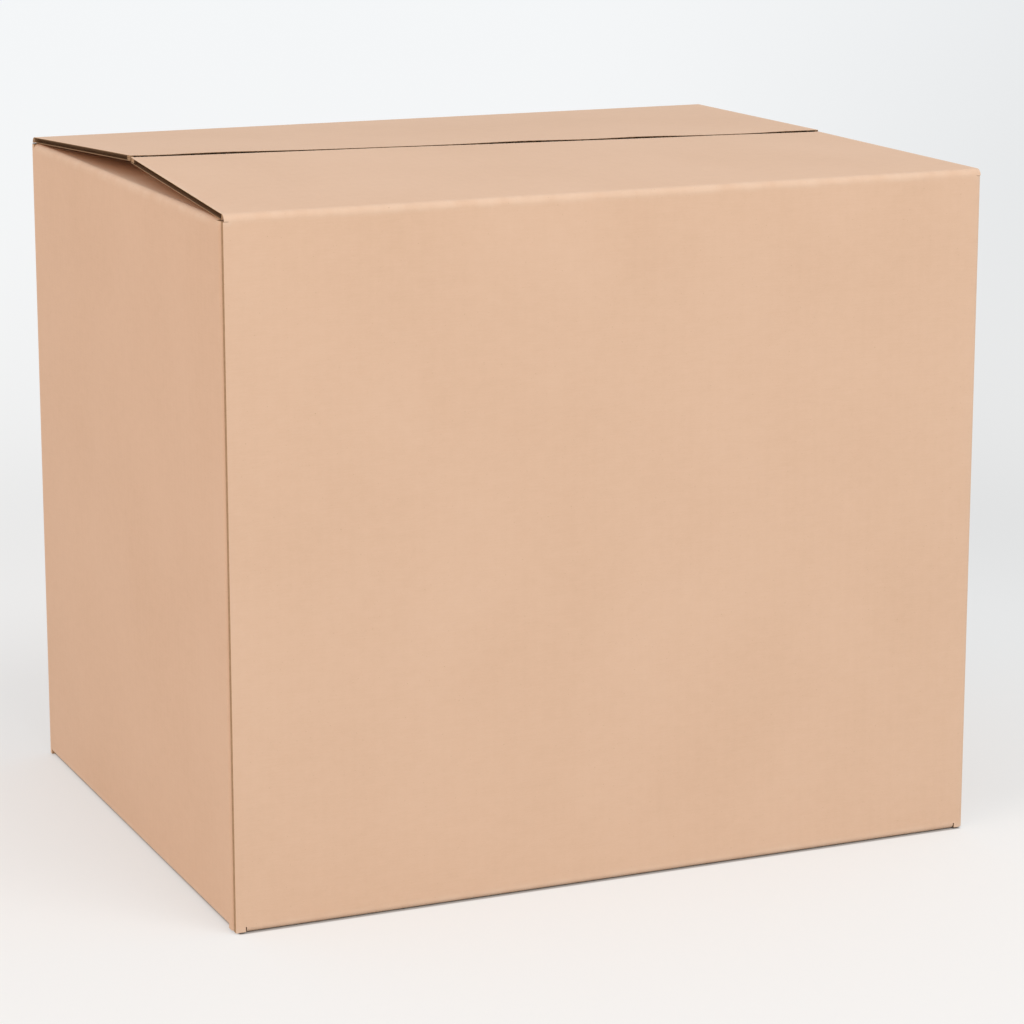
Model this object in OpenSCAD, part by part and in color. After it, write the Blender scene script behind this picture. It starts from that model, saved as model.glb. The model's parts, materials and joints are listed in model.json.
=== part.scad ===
// Closed shipping box of corrugated board, folded from one slotted blank.
// The box stands on its bottom flaps, with its length along X and +Z up.
// The origin is at the middle of the footprint, on the floor.
// The blank has four walls, a glue tab, four bottom flaps and four top flaps.
// The two outer top flaps are loose: they hinge at the long walls and meet at a centre seam.

/* [Box] */
// Outer length, along the centre seam
box_length = 580; // [400:5:900]
// Outer width, across the centre seam
box_width = 460; // [300:5:700]
// Outer height, at the folds of the outer flaps
box_height = 500; // [200:5:900]

/* [Board] */
// Thickness of the corrugated board
board = 4; // [2.5:0.1:6]
// Inside radius of each fold
crease_radius = 0.6; // [0.3:0.1:1.5]

/* [Flaps] */
// Gap between the free edges of two outer flaps
seam_gap = 1.5; // [0.6:0.1:6]
// How far the ends of the outer top flaps stand in from the end walls' outer faces
outer_inset = 1.5; // [0.8:0.1:4]
// How much further in those ends stand at the flaps' free edges
outer_taper = 8; // [1:0.5:15]
// How far the ends of the outer bottom flaps stand in from those faces
bottom_inset = 8.8; // [8.5:0.1:12]
// How far the sides of the inner flaps stand in from the long walls' outer faces
inner_inset = 8; // [6:0.5:14]
// Height that the front outer flap has sprung up at the left end of the seam
left_rise = 11; // [1:0.2:24]
// Height that the front outer flap has sprung up at the right end of the seam
right_rise = 2.2; // [1:0.2:24]
// How much higher the rear outer flap stands all along the seam
seam_step = 1.2; // [0:0.1:3]
// Gap between the inner flaps and the outer flaps that cover them
flap_gap = 0.7; // [0.5:0.1:2]
// Radius of the bend where an inner flap dips under the outer flaps
dip_radius = 1; // [0.5:0.1:2]

/* [Glued joint] */
// Width of the glue tab, from the outer face of the left wall
tab_width = 35; // [25:1:60]
// Distance from that face to where the ends of the tab are cut back
tab_start = 8; // [6:0.5:14]
// How far the ends of the tab stand back from the floors of the slots
tab_recess = 8; // [4:0.5:20]
// How much further they stand back at the free edge of the tab
tab_taper = 12; // [0:0.5:30]
// How far the cut edge of the front wall stands back from the left wall
edge_setback = 0.8; // [0.2:0.1:2]
// Thickness of the glue film on the tab
glue_film = 0.3; // [0.1:0.05:0.6]
// Bare margin round the glue film
glue_margin = 4; // [1:0.5:8]

/* [Bottom glue] */
// Width of each glue bead under the inner bottom flaps
bead_width = 12; // [5:1:20]
// Length of each glue bead
bead_length = 150; // [60:5:180]
// Distance between the beads of one outer flap
bead_pitch = 65; // [30:5:80]
// Number of beads on each half of one outer flap
bead_count = 3; // [1:1:3]

/* [Clearances] */
// Gap at the mitre between a wall and its hinged flap, and over the folds and slots below it
hinge_clearance = 0.3; // [0.1:0.05:0.5]
// Gap between the end of an outer bottom flap and the foot of the corner beside it
slot_clearance = 0.8; // [0.3:0.1:2]
// Height of the corners' feet over the floor
foot_gap = 1; // [0.2:0.1:2]

/* [Hidden] */
$fn = 64;
kraft = [0.82, 0.65, 0.5];
kraft_light = [0.86, 0.71, 0.56];
glue_clear = [0.93, 0.9, 0.8];

// Outside radius of a fold, round the same centre as its inside radius
fold_radius = board + crease_radius;
// The top slots are cut just past the folds of the outer flaps, to this depth
slot_floor = fold_radius + hinge_clearance;
// Length of every flap, from its wall's outer face to its free edge
flap_length = (box_width - seam_gap) / 2;
// The corners' feet reach this far in from the end walls' outer faces
foot_reach = bottom_inset - slot_clearance;

// Angle between the points of an arc in an outline
arc_step = 6;

// The joint's corner folds inside the front wall, one board and the glue further in
joint_step = board + glue_film;
// Distance from the hinge line to where the ends of an outer top flap start to taper
taper_start = 2 * fold_radius;
// Slices along the twist of an outer flap
twist_slices = 16;

// Part of a ring round the origin, between two radii and two angles
module ring_sector(inner, outer, from, to) {
    reach = 2 * outer;
    middle = (from + to) / 2;
    intersection() {
        difference() {
            circle(outer);
            circle(inner);
        }
        polygon([
            [0, 0],
            reach * [cos(from), sin(from)],
            reach * [cos(middle), sin(middle)],
            reach * [cos(to), sin(to)]
        ]);
    }
}

// Points along an arc, in steps of about arc_step, without the first skip points
function arc(centre, radius, from, to, skip = 0) =
    let (steps = ceil(abs(to - from) / arc_step))
    [
        for (i = [skip : steps])
            let (angle = from + (to - from) * i / steps)
            centre + radius * [cos(angle), sin(angle)]
    ];

function reversed(points) = [for (i = [len(points) - 1 : -1 : 0]) points[i]];

// How far the fold of an inner flap lies below that of an outer flap, so that it clears
// an outer flap whose end stands in from the end wall by inset
function fold_drop(inset) =
    let (chord = pow(fold_radius, 2) - pow(max(0, inset - fold_radius), 2))
    max(0, board + hinge_clearance - fold_radius + sqrt(max(0, chord)));

// One face of an inner flap, from its wall over the fold and through the dip to the free edge.
// Radii are those of this face; heights count down from the outer face of the outer flap.
function inner_flap_face(inset, fold_r, dip_r, level) =
    let (
        reach = fold_radius + dip_radius,
        fold = [fold_radius, -fold_drop(inset) - fold_radius],
        over = acos((dip_radius - board - flap_gap - fold.y) / reach),
        dip = fold + reach * [sin(over), cos(over)]
    )
    concat(
        arc(fold, fold_r, 180, 90 - over),
        arc(dip, dip_r, 270 - over, 270, skip = 1),
        [[flap_length, level]]
    );

// Both faces of an inner flap, as one open outline from the wall and back to it
function inner_flap(inset) = concat(
    inner_flap_face(inset, fold_radius, dip_radius, -board - flap_gap),
    reversed(inner_flap_face(inset, crease_radius, dip_radius + board, -2 * board - flap_gap))
);

// End wall with both its inner flaps, seen along Y, with its outer face at x = 0
module end_section() {
    polygon(concat(
        [for (p = inner_flap(outer_inset)) [p.x, box_height + p.y]],
        [for (p = reversed(inner_flap(bottom_inset))) [p.x, -p.y]]
    ));
}

// Fold of an outer flap, cut at its mitre: side 1 keeps the flap's half, side -1 the wall's.
// The hinge line is the origin.
module mitred_fold(side) {
    difference() {
        translate([fold_radius, -fold_radius])
            ring_sector(crease_radius, fold_radius, 90, 180);
        rotate(-45)
            translate([-fold_radius, side > 0 ? -3 * fold_radius : -hinge_clearance / 2])
                square([4 * fold_radius, 3 * fold_radius + hinge_clearance / 2]);
    }
}

// Long wall up to its half of the top fold, seen along X, with its outer face at x = 0
module long_wall_section() {
    translate([0, fold_radius])
        square([board, box_height - 2 * fold_radius]);
    translate([0, box_height])
        mitred_fold(-1);
}

// Outer bottom flap with its whole fold, seen along X
module bottom_flap_section() {
    translate([fold_radius, fold_radius])
        ring_sector(crease_radius, fold_radius, 180, 270);
    translate([fold_radius, 0])
        square([flap_length - fold_radius, board]);
}

// Outer top flap, seen along X, flat, with the hinge line at the origin
module outer_flap_section() {
    mitred_fold(1);
    translate([fold_radius, -board])
        square([flap_length - fold_radius, board]);
}

// Rounded corner between two walls, which goes on to the slots on both sides
module corner_plan(reach) {
    translate([fold_radius, fold_radius])
        ring_sector(crease_radius, fold_radius, 180, 270);
    translate([0, fold_radius])
        square([board, inner_inset - fold_radius]);
    translate([fold_radius, 0])
        square([reach - fold_radius, board]);
}

// Corner where the left wall folds inside the front wall and goes on as the glue tab
module joint_plan() {
    translate([edge_setback, 0])
        square([foot_reach - edge_setback, board]);
    translate([0, joint_step])
        corner_plan(tab_start);
}

// Vertical post of a corner, from its foot near the floor to the floor of the top slot
module corner_post() {
    translate([0, 0, foot_gap])
        linear_extrude(height = box_height - slot_floor - foot_gap)
            children();
}

// Glue tab past the corner, with ends that taper, as a sheet in the XZ plane
module glue_tab() {
    low = slot_floor + tab_recess;
    high = box_height - low;
    translate([0, joint_step + board, 0])
        rotate([90, 0, 0])
            linear_extrude(height = board)
                polygon([
                    [tab_start, low],
                    [tab_width, low + tab_taper],
                    [tab_width, high - tab_taper],
                    [tab_start, high]
                ]);
}

// Section at the front wall, run along the box between two equal insets
module along_box(inset) {
    translate([inset - box_length / 2, -box_width / 2, 0])
        rotate([90, 0, 90])
            linear_extrude(height = box_length - 2 * inset)
                children();
}

// One blank, folded: walls, corners, glue tab, bottom flaps and inner top flaps
module carton() {
    color(kraft) {
        // End walls, the left one cut short by the joint
        translate([-box_length / 2, box_width / 2 - inner_inset, 0])
            rotate([90, 0, 0])
                linear_extrude(height = box_width - 2 * inner_inset - joint_step)
                    end_section();
        translate([box_length / 2, -box_width / 2 + inner_inset, 0])
            rotate([90, 0, 180])
                linear_extrude(height = box_width - 2 * inner_inset)
                    end_section();
        // Long walls and their bottom flaps
        for (side = [0, 1])
            mirror([0, side, 0]) {
                along_box(fold_radius)
                    long_wall_section();
                along_box(bottom_inset)
                    bottom_flap_section();
            }
        // Plain corners
        for (turn = [[1, -1], [1, 1], [-1, 1]])
            mirror([turn.x > 0 ? 1 : 0, 0, 0])
                mirror([0, turn.y > 0 ? 1 : 0, 0])
                    translate([-box_length / 2, -box_width / 2, 0])
                        corner_post()
                            corner_plan(foot_reach);
        // Corner with the glued joint
        translate([-box_length / 2, -box_width / 2, 0]) {
            corner_post()
                joint_plan();
            glue_tab();
        }
    }
}

// Plan of an outer top flap with its hinge line at y = 0. The slanted sides cut its ends
// from taper_start on, and the rest of the plan is drawn wider than the flap.
module tapered_plan() {
    half_run = box_length / 2 - outer_inset;
    slope = outer_taper / (flap_length - taper_start);
    near = half_run + slope * (taper_start + fold_radius);
    far = half_run - slope * (flap_length + fold_radius - taper_start);
    polygon([
        [-near, -fold_radius],
        [near, -fold_radius],
        [far, flap_length + fold_radius],
        [-far, flap_length + fold_radius]
    ]);
}

// Outer top flap at the front wall, sprung up and twisted about its hinge line.
// The two heights are those of its free edge, at the left and the right end.
module outer_flap(left, right) {
    left_lift = atan(left / flap_length);
    right_lift = atan(right / flap_length);
    run = box_length - 2 * outer_inset;
    depth = 2 * fold_radius;
    color(kraft_light)
        translate([0, -box_width / 2, box_height])
            intersection() {
                translate([-run / 2, 0, 0])
                    rotate([90, 0, 90])
                        linear_extrude(
                            height = run,
                            twist = left_lift - right_lift,
                            slices = twist_slices,
                            segments = 0
                        )
                            rotate(left_lift)
                                outer_flap_section($fn = 32);
                translate([0, 0, -depth])
                    linear_extrude(height = 2 * depth + max(left, right))
                        tapered_plan();
            }
}

module front_flap() {
    outer_flap(left_rise, right_rise);
}

module rear_flap() {
    mirror([0, 1, 0])
        outer_flap(left_rise + seam_step, right_rise + seam_step);
}

// Film of glue between the tab and the front wall
module joint_glue() {
    low = slot_floor + tab_recess + tab_taper + glue_margin;
    color(glue_clear)
        translate([-box_length / 2 + tab_start + glue_margin, board - box_width / 2, low])
            cube([tab_width - tab_start - 2 * glue_margin, glue_film, box_height - 2 * low]);
}

// Beads of glue between the inner and the outer bottom flaps
module bottom_glue() {
    first = box_width / 4 - bead_pitch * (bead_count - 1) / 2;
    color(glue_clear)
        for (end = [0, 1], side = [0, 1], bead = [0 : bead_count - 1])
            mirror([end, 0, 0])
                mirror([0, side, 0])
                    translate([
                        flap_length - box_length / 2 - bead_length - glue_margin,
                        first + bead * bead_pitch - bead_width / 2,
                        board
                    ])
                        cube([bead_length, bead_width, flap_gap]);
}

carton();
front_flap();
rear_flap();
joint_glue();
bottom_glue();
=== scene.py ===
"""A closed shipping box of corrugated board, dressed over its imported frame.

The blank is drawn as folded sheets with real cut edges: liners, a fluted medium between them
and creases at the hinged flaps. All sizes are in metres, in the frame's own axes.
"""

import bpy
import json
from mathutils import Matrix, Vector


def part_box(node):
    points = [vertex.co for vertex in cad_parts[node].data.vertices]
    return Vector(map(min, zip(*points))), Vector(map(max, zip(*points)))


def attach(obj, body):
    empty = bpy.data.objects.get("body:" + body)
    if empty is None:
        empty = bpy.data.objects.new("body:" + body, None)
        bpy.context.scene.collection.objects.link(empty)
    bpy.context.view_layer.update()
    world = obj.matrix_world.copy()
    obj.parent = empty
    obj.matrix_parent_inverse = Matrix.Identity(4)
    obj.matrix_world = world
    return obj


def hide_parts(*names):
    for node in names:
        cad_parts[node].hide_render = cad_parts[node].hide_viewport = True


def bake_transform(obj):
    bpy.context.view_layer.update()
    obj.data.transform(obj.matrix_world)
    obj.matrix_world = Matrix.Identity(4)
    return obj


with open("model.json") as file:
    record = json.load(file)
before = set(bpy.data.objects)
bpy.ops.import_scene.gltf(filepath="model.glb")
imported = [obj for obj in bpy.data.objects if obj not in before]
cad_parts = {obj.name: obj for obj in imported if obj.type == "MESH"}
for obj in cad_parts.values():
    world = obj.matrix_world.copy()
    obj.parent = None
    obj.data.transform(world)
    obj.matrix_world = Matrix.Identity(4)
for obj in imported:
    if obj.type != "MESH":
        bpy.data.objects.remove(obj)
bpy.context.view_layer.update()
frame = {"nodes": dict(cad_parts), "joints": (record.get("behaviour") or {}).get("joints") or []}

import json
import logging
import math
from dataclasses import dataclass, field, replace
from enum import Enum
from typing import Callable, Dict, Iterable, List, Sequence, Tuple, Union

import bpy
from mathutils import Vector

LOG = logging.getLogger("shipping_box")
MM = 0.001
TURN = 2 * math.pi
QUARTER = TURN / 4
SHARP_ANGLE = math.radians(32)
FLUTE_PITCH = 7.6 * MM

# How finely the sheets are divided: per fold, per bend and per flute, and near cuts and slots
FOLD_STEP = math.radians(9)
FOLD_ROWS = 6
CORNER_COLUMNS = 10
FLUTE_STEPS = 12
CUT_MARGINS = (0.4 * MM, 5 * MM, 15 * MM, 32 * MM)
SLOT_MARGINS = (6 * MM, 16 * MM, 32 * MM)

# How places are rounded, how near points join, and how the paper's pattern runs through a board
PLACE_DIGITS = 7
JOINS_PER_METRE = 1e6
PATTERN_DEPTH = 3

Pair = Tuple[float, float]
Triple = Tuple[float, float, float]
Materials = Sequence[bpy.types.Material]


class Rim(Enum):
    """How one border of a sheet is finished."""

    CLOSED = "butted, with a plain face"
    ALONG = "cut along the flutes"
    ACROSS = "cut across the flutes"


FLAP_SIDES = {"low_s": Rim.ALONG, "high_s": Rim.ALONG}
BUTTED_SIDES = {"low_s": Rim.CLOSED, "high_s": Rim.CLOSED}
CUT_ENDS = {"low_t": Rim.ACROSS, "high_t": Rim.ACROSS}


class Skin(Enum):
    """Material slots of a board piece, in order."""

    LINER = 0
    CUT = 1
    MEDIUM = 2


def smooth(value: float, low: float, high: float) -> float:
    """Smooth rise of value from 0 at low and before to 1 at high and after."""
    share = min(1.0, max(0.0, (value - low) / (high - low)))
    return share * share * (3 - 2 * share)


def spread(start: float, length: float, count: int) -> List[float]:
    """The ends of count equal steps over a length, from start on."""
    return [start + length * i / count for i in range(count + 1)]


def rounded(values: Iterable[float]) -> List[float]:
    """Values without their last digits, so that places from different sums are the same."""
    return [round(value, PLACE_DIGITS) for value in values]


def graded(low: float, high: float, step: float, near: Sequence[float] = ()) -> List[float]:
    """Evenly spaced values with extra ones near both ends.

    Args:
        low: First value.
        high: Last value.
        step: Largest spacing between the even values.
        near: Distances from each end that get a value too.

    Returns:
        The sorted values.
    """
    count = max(1, math.ceil((high - low) / step))
    values = set(rounded(spread(low, high - low, count)))
    for gap in near:
        if gap < (high - low) / 2:
            values |= set(rounded((low + gap, high - gap)))
    return sorted(values)


def add_object(name: str, data: bpy.types.ID) -> bpy.types.Object:
    """Adds an object to the scene.

    Args:
        name: Its name.
        data: Its mesh, lamp or camera.

    Returns:
        The new object.
    """
    made = bpy.data.objects.new(name, data)
    bpy.context.scene.collection.objects.link(made)
    return made


def aim(thing: bpy.types.Object, place: Sequence[float], ahead: Vector) -> None:
    """Puts a lamp or camera in its place and turns it.

    Args:
        thing: The lamp or camera.
        place: Where it goes.
        ahead: The direction in which it faces.
    """
    thing.location = place
    thing.rotation_mode = "QUATERNION"
    thing.rotation_quaternion = ahead.to_track_quat("-Z", "Y")


# Shader maths


Value = Union["Number", float]


class Number:
    """A number socket whose arithmetic adds Math nodes to its graph."""

    def __init__(self, graph: "Graph", socket: bpy.types.NodeSocket) -> None:
        """Wraps socket, which belongs to graph."""
        self.graph = graph
        self.socket = socket

    def math(self, operation: str, *values: Value) -> "Number":
        """Adds a Math node for an operation on values and gives its result."""
        inputs = dict(enumerate(values))
        return self.graph.number("ShaderNodeMath", {"operation": operation}, inputs)

    def __add__(self, other: Value) -> "Number":
        """self + other."""
        return self.math("ADD", self, other)

    def __radd__(self, other: float) -> "Number":
        """other + self."""
        return self.math("ADD", other, self)

    def __sub__(self, other: Value) -> "Number":
        """self - other."""
        return self.math("SUBTRACT", self, other)

    def __rsub__(self, other: float) -> "Number":
        """other - self."""
        return self.math("SUBTRACT", other, self)

    def __mul__(self, other: Value) -> "Number":
        """self * other."""
        return self.math("MULTIPLY", self, other)

    def __rmul__(self, other: float) -> "Number":
        """other * self."""
        return self.math("MULTIPLY", other, self)

    def __truediv__(self, other: Value) -> "Number":
        """self / other."""
        return self.math("DIVIDE", self, other)

    def __rtruediv__(self, other: float) -> "Number":
        """other / self."""
        return self.math("DIVIDE", other, self)

    def __abs__(self) -> "Number":
        """self without its sign."""
        return self.math("ABSOLUTE", self)

    def sine(self) -> "Number":
        """Sine of self, in radians."""
        return self.math("SINE", self)

    def larger(self, other: Value) -> "Number":
        """The larger of self and other."""
        return self.math("MAXIMUM", self, other)

    def step(self, low: float, high: float) -> "Number":
        """Smooth step of self, which falls where low is over high.

        Args:
            low: Value that gives 0.
            high: Value that gives 1.

        Returns:
            The step, from 0 to 1.
        """
        ends = {1: low, 2: high} if low < high else {1: high, 2: low, 3: 1.0, 4: 0.0}
        settings = {"interpolation_type": "SMOOTHSTEP"}
        return self.graph.number("ShaderNodeMapRange", settings, {0: self, **ends})


@dataclass(frozen=True)
class Layer:
    """One layer of noise: turns per metre, share in what it varies, and fineness."""

    scale: Triple
    share: float
    detail: float = 2.0
    rough: float = 0.5


class Graph:
    """The node tree of one material or world, which starts out empty."""

    def __init__(self, tree: bpy.types.NodeTree) -> None:
        """Empties tree and keeps it."""
        self.tree = tree
        tree.nodes.clear()

    def node(self, kind: str, settings: Dict[str, object], inputs: Dict) -> bpy.types.Node:
        """Adds a node.

        Args:
            kind: The node's type.
            settings: Its properties, which are set first.
            inputs: Values or links by socket name or number.

        Returns:
            The new node.
        """
        made = self.tree.nodes.new(kind)
        for name, value in settings.items():
            setattr(made, name, value)
        for name, value in inputs.items():
            source = value.socket if isinstance(value, Number) else value
            if isinstance(source, bpy.types.NodeSocket):
                self.tree.links.new(source, made.inputs[name])
            else:
                made.inputs[name].default_value = source
        return made

    def number(self, kind: str, settings: Dict[str, object], inputs: Dict, out: int = 0) -> Number:
        """Adds a node, as node does, and gives the output with the number out."""
        return Number(self, self.node(kind, settings, inputs).outputs[out])

    def axis(self, vector: bpy.types.NodeSocket, which: int) -> Number:
        """One coordinate of a vector, out of 0, 1 and 2."""
        return self.number("ShaderNodeSeparateXYZ", {}, {0: vector}, which)

    def noise(self, vector: bpy.types.NodeSocket, layer: Layer) -> Number:
        """Adds noise.

        Args:
            vector: Where it is read, in metres.
            layer: Its scale and fineness.

        Returns:
            The noise, around 0.5.
        """
        times = {"operation": "MULTIPLY"}
        place = self.node("ShaderNodeVectorMath", times, {0: vector, 1: layer.scale}).outputs[0]
        return self.number("ShaderNodeTexNoise", {"normalize": True}, {
            "Vector": place, "Scale": 1.0, "Detail": layer.detail, "Roughness": layer.rough})

    def tint(self, noises: Iterable[Number], layers: Iterable[Layer]) -> Number:
        """Adds up noises in the shares of their layers.

        Args:
            noises: The noises.
            layers: Their layers.

        Returns:
            The sum, around 0.5.
        """
        tint: Value = 0.5
        for noise, layer in zip(noises, layers):
            tint = tint + (noise - 0.5) * layer.share
        return tint

    def mix(self, share: Value, first: object, second: object) -> bpy.types.NodeSocket:
        """Mixes two colours.

        Args:
            share: How much of the second colour shows.
            first: A colour or a colour socket.
            second: The same.

        Returns:
            The mixed colour's socket.
        """
        ends = {place: (*colour, 1.0) if isinstance(colour, tuple) else colour
                for place, colour in ((6, first), (7, second))}
        return self.node("ShaderNodeMix", {"data_type": "RGBA"}, {0: share, **ends}).outputs[2]

    def bump(self, height: Number, strength: float, distance: float,
             **under: bpy.types.NodeSocket) -> bpy.types.NodeSocket:
        """Adds a bump as deep as distance where height is 1, on the Normal given as under."""
        inputs = {"Strength": strength, "Distance": distance, "Height": height, **under}
        return self.node("ShaderNodeBump", {}, inputs).outputs[0]


# Finishes


class Finish:
    """A material that is made of nodes."""

    name: str

    def build(self) -> bpy.types.Material:
        """Makes the material.

        Returns:
            The material, with the finish's own shader as its surface.
        """
        material = bpy.data.materials.new(self.name)
        material.use_nodes = True
        g = Graph(material.node_tree)
        g.node("ShaderNodeOutputMaterial", {}, {"Surface": self.shader(g).outputs[0]})
        return material

    def shader(self, g: Graph) -> bpy.types.Node:
        """The shader, whose nodes are added to g."""
        raise NotImplementedError


@dataclass(frozen=True)
class KraftLiner(Finish):
    """The plain brown paper on both faces of the board."""

    name: str = "kraft_liner"
    tone: Triple = (0.680, 0.457, 0.317)
    pale: Triple = (0.714, 0.492, 0.351)
    deep: Triple = (0.631, 0.414, 0.278)
    fleck: Triple = (0.330, 0.190, 0.100)
    # Pale colour near creases and cut edges: partly real wear, partly a painted highlight on the
    # rounded folds
    worn_highlight: Triple = (0.766, 0.587, 0.451)
    clouds: Layer = Layer((9, 7, 9), 0.75, 3)
    mottles: Layer = Layer((85, 120, 90), 0.55, 4, 0.62)
    streaks: Layer = Layer((60, 900, 60), 0.3)
    fibres: Layer = Layer((420, 1500, 400), 0.42, 3, 0.6)
    grains: Layer = Layer((2400, 2700, 2400), 0.25, 1)
    flecks: Layer = Layer((620, 900, 600), 0.34, 1)
    wear_highlight: Layer = Layer((60, 40, 60), 0.5, 3)
    flute_share: float = 0.018
    deep_reach: Pair = (-0.1, 0.62)
    pale_reach: Pair = (0.42, 1.15)
    fleck_reach: Pair = (0.735, 0.79)
    wear_highlight_reach: Pair = (0.15, 0.85)
    wear_highlight_width: float = 5.0 * MM
    roughness: float = 0.78
    mottle_roughness: float = 0.12
    wear_roughness: float = 0.08
    gloss: float = 0.28
    fibre_relief: float = 0.55
    grain_relief: float = 0.3
    mottle_relief: float = 0.5
    fibre_bump: float = 0.35
    fibre_depth: float = 0.12 * MM
    flute_bump: float = 0.5
    flute_depth: float = 0.06 * MM

    def shader(self, g: Graph) -> bpy.types.Node:
        """Paper with clouds, fibres, flecks, faint flute lines and creases paled by wear and a
        painted highlight.

        Args:
            g: The material's nodes.

        Returns:
            The shader.
        """
        sheet = g.node("ShaderNodeAttribute", {"attribute_name": "blank"}, {}).outputs["Vector"]
        edge = g.number("ShaderNodeAttribute", {"attribute_name": "edge"}, {}, out=2)
        layers = (self.clouds, self.mottles, self.streaks, self.fibres, self.grains)
        noises = [g.noise(sheet, layer) for layer in layers]
        flecks = g.noise(sheet, self.flecks).step(*self.fleck_reach)
        flutes = (g.axis(sheet, 0) * (TURN / FLUTE_PITCH)).sine()
        tint = g.tint(noises, layers) + flutes * self.flute_share
        colour = g.mix(tint.step(*self.deep_reach), self.deep, self.tone)
        colour = g.mix(tint.step(*self.pale_reach), colour, self.pale)
        # Painted highlight and wear: the paper pales within a few millimetres of creases and cut
        # edges, where a rounded fold catches light
        rub_highlight = edge.step(self.wear_highlight_width, 0.0) * g.noise(sheet, self.wear_highlight).step(*self.wear_highlight_reach)
        colour = g.mix(rub_highlight * self.wear_highlight.share, colour, self.worn_highlight)
        colour = g.mix(flecks * self.flecks.share, colour, self.fleck)
        _, mottle, _, fibre, grain = noises
        height = fibre * self.fibre_relief + grain * self.grain_relief
        height = height + mottle * self.mottle_relief
        fine = g.bump(height, self.fibre_bump, self.fibre_depth)
        rough = (mottle - 0.5) * self.mottle_roughness
        return g.node("ShaderNodeBsdfPrincipled", {}, {
            "Base Color": colour, "Specular IOR Level": self.gloss,
            "Roughness": self.roughness + rough + rub_highlight * self.wear_roughness,
            "Normal": g.bump(flutes * 0.5 + 0.5, self.flute_bump, self.flute_depth, Normal=fine),
        })


@dataclass(frozen=True)
class RawPaper(Finish):
    """Torn brown paper stock, as on cut edges and the fluted medium."""

    name: str
    tone: Triple
    deep: Triple
    fibres: Layer = Layer((310.0, 310.0, 310.0), 0.9, 3, 0.6)
    plies: Layer = Layer((2600.0, 2600.0, 2600.0), 0.8)
    roughness: float = 0.92
    gloss: float = 0.15
    fibre_relief: float = 0.4
    ply_relief: float = 0.6
    bump: float = 0.6
    depth: float = 0.2 * MM

    def shader(self, g: Graph) -> bpy.types.Node:
        """Matt, fibrous paper with fine layers through its thickness.

        Args:
            g: The material's nodes.

        Returns:
            The shader.
        """
        place = g.node("ShaderNodeTexCoord", {}, {}).outputs["Object"]
        layers = (self.fibres, self.plies)
        fibre, ply = noises = [g.noise(place, layer) for layer in layers]
        shade = g.tint(noises, layers).step(0.0, 1.0)
        height = fibre * self.fibre_relief + ply * self.ply_relief
        return g.node("ShaderNodeBsdfPrincipled", {}, {
            "Base Color": g.mix(shade, self.deep, self.tone), "Roughness": self.roughness,
            "Specular IOR Level": self.gloss, "Normal": g.bump(height, self.bump, self.depth),
        })


@dataclass(frozen=True)
class DriedGlue(Finish):
    """Cream dried adhesive with small bubbles."""

    name: str = "dried_glue"
    tone: Triple = (0.78, 0.70, 0.52)
    deep: Triple = (0.60, 0.50, 0.33)
    clouds: Layer = Layer((160.0, 160.0, 160.0), 0.3, 4)
    cloud_reach: Pair = (0.3, 0.7)
    roughness: float = 0.25
    gloss: float = 0.5
    bubbles: float = 900.0
    bubble_reach: Pair = (0.0, 0.6)
    bump: float = 0.4
    depth: float = 0.15 * MM

    def shader(self, g: Graph) -> bpy.types.Node:
        """Satin, slightly cloudy glue.

        Args:
            g: The material's nodes.

        Returns:
            The shader.
        """
        place = g.node("ShaderNodeTexCoord", {}, {}).outputs["Object"]
        cloud = g.noise(place, self.clouds)
        cells = g.number("ShaderNodeTexVoronoi", {}, {"Vector": place, "Scale": self.bubbles})
        return g.node("ShaderNodeBsdfPrincipled", {}, {
            "Base Color": g.mix(cloud.step(*self.cloud_reach), self.deep, self.tone),
            "Roughness": cloud * self.clouds.share + self.roughness,
            "Specular IOR Level": self.gloss,
            "Normal": g.bump(cells.step(*self.bubble_reach), self.bump, self.depth),
        })


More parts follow.
